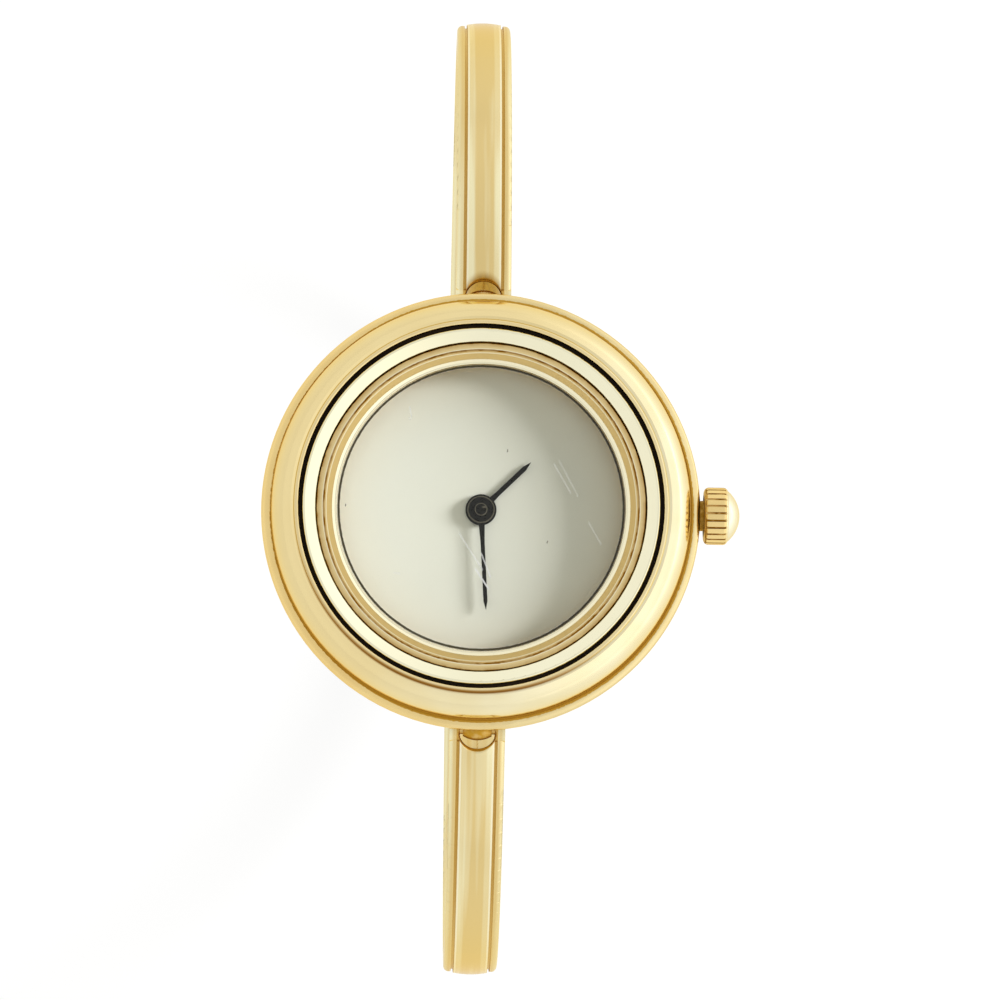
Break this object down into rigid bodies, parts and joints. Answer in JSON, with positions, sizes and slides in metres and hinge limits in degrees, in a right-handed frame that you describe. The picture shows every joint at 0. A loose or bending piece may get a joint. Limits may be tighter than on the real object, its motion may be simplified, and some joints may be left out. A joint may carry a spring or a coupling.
{
  "type": "bangle watch",
  "caption": "Small round wristwatch on a rigid oval bangle: hinged narrow arms, hooked clasp link, changeable domed bezel ring, plain dial and side crown.",
  "frame": {"origin": "centre of the caseback's outer face", "axes": "+Z out of the dial, +Y to 12 o'clock, +X to the crown"},
  "size_m": [0.0284, 0.0599, 0.0558],
  "materials": {
    "gold": "polished gold plate over brass",
    "polished_gold": "mirror polished gold plate over brass",
    "satin_gold": "fine turned gold plate over brass",
    "back_gold": "brushed gold plate over brass",
    "arm_gold": "polished gold plate over brass, drawn bar",
    "seal_black": "matt",
    "crystal_glass": "polished mineral glass",
    "clear_gasket": "clear nylon",
    "dial_white": "satin lacquer over brass",
    "hand_black": "black lacquer over brass",
    "plate_brass": "plain brass",
    "ring_plastic": "moulded",
    "steel": "ground",
    "cell_steel": "nickelled",
    "coil_copper": "enamelled copper wire",
    "board_green": "printed board"
  },
  "bodies": {
    "case": {"case_body": "gold", "caseback": "back_gold", "caseback_gasket": "seal_black", "crystal_ring": "satin_gold", "crystal": "crystal_glass", "crystal_gasket": "clear_gasket", "dial": "dial_white", "main_plate": "plate_brass", "movement_ring": "ring_plastic", "battery": "cell_steel", "battery_clamp": "steel", "coil_core": "steel", "coil": "coil_copper", "circuit_board": "board_green", "quartz_crystal": "cell_steel", "movement_screws": "steel", "crown_tube": "gold"},
    "bezel": {"bezel_ring": "gold"},
    "retaining": {"retaining_ring": "polished_gold", "bezel_seal": "seal_black"},
    "hour": {"hour_hand": "hand_black", "hour_wheel": "plate_brass"},
    "minute": {"minute_hand": "hand_black", "cannon_pinion": "steel"},
    "minute_wheel": {"minute_wheel": "plate_brass"},
    "setting_lever": {"setting_lever": "steel"},
    "crown": {"crown": "gold", "stem": "steel", "crown_gasket": "seal_black", "clutch_wheel": "steel"},
    "upper_arm": {"upper_arm": "arm_gold", "upper_hinge_pin": "gold", "catch_bar": "gold"},
    "lower_arm": {"lower_arm": "arm_gold", "lower_hinge_pin": "gold", "clasp_pin": "gold"},
    "clasp_link": {"clasp_link": "arm_gold"}
  },
  "joints": [
    {"name": "upper_arm_swing", "type": "hinge", "parent": "case", "child": "upper_arm", "pos_m": [0, 0.0128, 0.0011], "axis": [1, 0, 0], "range_deg": [0, 18]},
    {"name": "lower_arm_swing", "type": "hinge", "parent": "case", "child": "lower_arm", "pos_m": [0, -0.0128, 0.0011], "axis": [-1, 0, 0], "range_deg": [0, 27]},
    {"name": "clasp_opening", "type": "hinge", "parent": "lower_arm", "child": "clasp_link", "pos_m": [0, -0.00108, -0.04665], "axis": [-1, 0, 0], "range_deg": [0, 120]},
    {"name": "retaining_ring_lift", "type": "slide", "parent": "case", "child": "retaining", "axis": [0, 0, 1], "range_m": [0, 0.005]},
    {"name": "bezel_ring_lift", "type": "slide", "parent": "case", "child": "bezel", "axis": [0, 0, 1], "range_m": [0, 0.0025]},
    {"name": "crown_pull", "type": "slide", "parent": "case", "child": "setting_lever", "axis": [1, 0, 0], "range_m": [0, 0.0007]},
    {"name": "crown_turn", "type": "hinge", "parent": "setting_lever", "child": "crown", "pos_m": [0.0135, 0, 0.0021], "axis": [1, 0, 0], "continuous": true},
    {"name": "minute_hand_turn", "type": "hinge", "parent": "case", "child": "minute", "pos_m": [0, 0, 0.0038], "axis": [0, 0, -1], "continuous": true},
    {"name": "hour_hand_turn", "type": "hinge", "parent": "case", "child": "hour", "pos_m": [0, 0, 0.0036], "axis": [0, 0, -1], "continuous": true},
    {"name": "minute_wheel_turn", "type": "hinge", "parent": "case", "child": "minute_wheel", "pos_m": [0.0009, 0.00156, 0.0029], "axis": [0, 0, -1], "continuous": true}
  ],
  "couplings": [
    {"joint": "lower_arm_swing", "follows": "upper_arm_swing", "ratio": 1.5},
    {"joint": "clasp_opening", "follows": "upper_arm_swing", "ratio": 6.6666},
    {"joint": "bezel_ring_lift", "follows": "retaining_ring_lift", "ratio": 0.5},
    {"joint": "hour_hand_turn", "follows": "minute_hand_turn", "ratio": 0.083333},
    {"joint": "minute_wheel_turn", "follows": "minute_hand_turn", "ratio": -0.33333}
  ]
}
